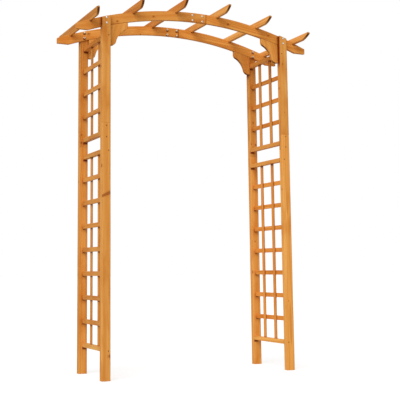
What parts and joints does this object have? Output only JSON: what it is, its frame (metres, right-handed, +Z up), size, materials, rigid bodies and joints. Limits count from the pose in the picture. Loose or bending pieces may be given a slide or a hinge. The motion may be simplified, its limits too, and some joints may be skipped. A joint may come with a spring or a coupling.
{
  "type": "garden arbor",
  "caption": "Open timber walk-through garden arch: paired bowed beams on plank posts, rafters across the top, curved corner braces and slatted trellis sides.",
  "frame": {"origin": "on the ground, midway between the four posts", "axes": "+X along the span to the right, +Y along the walk-through to the back, +Z up"},
  "size_m": [1.444, 0.648, 2.0401],
  "materials": {
    "post_wood": "honey-stained planed softwood",
    "beam_wood": "honey-stained planed softwood",
    "rafter_wood": "honey-stained planed softwood",
    "panel_wood": "honey-stained planed softwood"
  },
  "bodies": {
    "root": {"front_left_post_lower": "post_wood", "front_left_post_upper": "post_wood", "front_right_post_lower": "post_wood", "front_right_post_upper": "post_wood", "back_left_post_lower": "post_wood", "back_left_post_upper": "post_wood", "back_right_post_lower": "post_wood", "back_right_post_upper": "post_wood", "front_beam_left": "beam_wood", "front_beam_right": "beam_wood", "back_beam_left": "beam_wood", "back_beam_right": "beam_wood", "front_left_brace": "beam_wood", "front_right_brace": "beam_wood", "back_left_brace": "beam_wood", "back_right_brace": "beam_wood", "rafter_1": "rafter_wood", "rafter_2": "rafter_wood", "rafter_3": "rafter_wood", "rafter_4": "rafter_wood", "rafter_5": "rafter_wood", "rafter_6": "rafter_wood", "left_bottom_rail": "panel_wood", "left_lower_mid_rail": "panel_wood", "left_upper_mid_rail": "panel_wood", "left_top_rail": "panel_wood", "right_bottom_rail": "panel_wood", "right_lower_mid_rail": "panel_wood", "right_upper_mid_rail": "panel_wood", "right_top_rail": "panel_wood", "left_lower_lattice": "panel_wood", "left_upper_lattice": "panel_wood", "right_lower_lattice": "panel_wood", "right_upper_lattice": "panel_wood"}
  },
  "joints": []
}
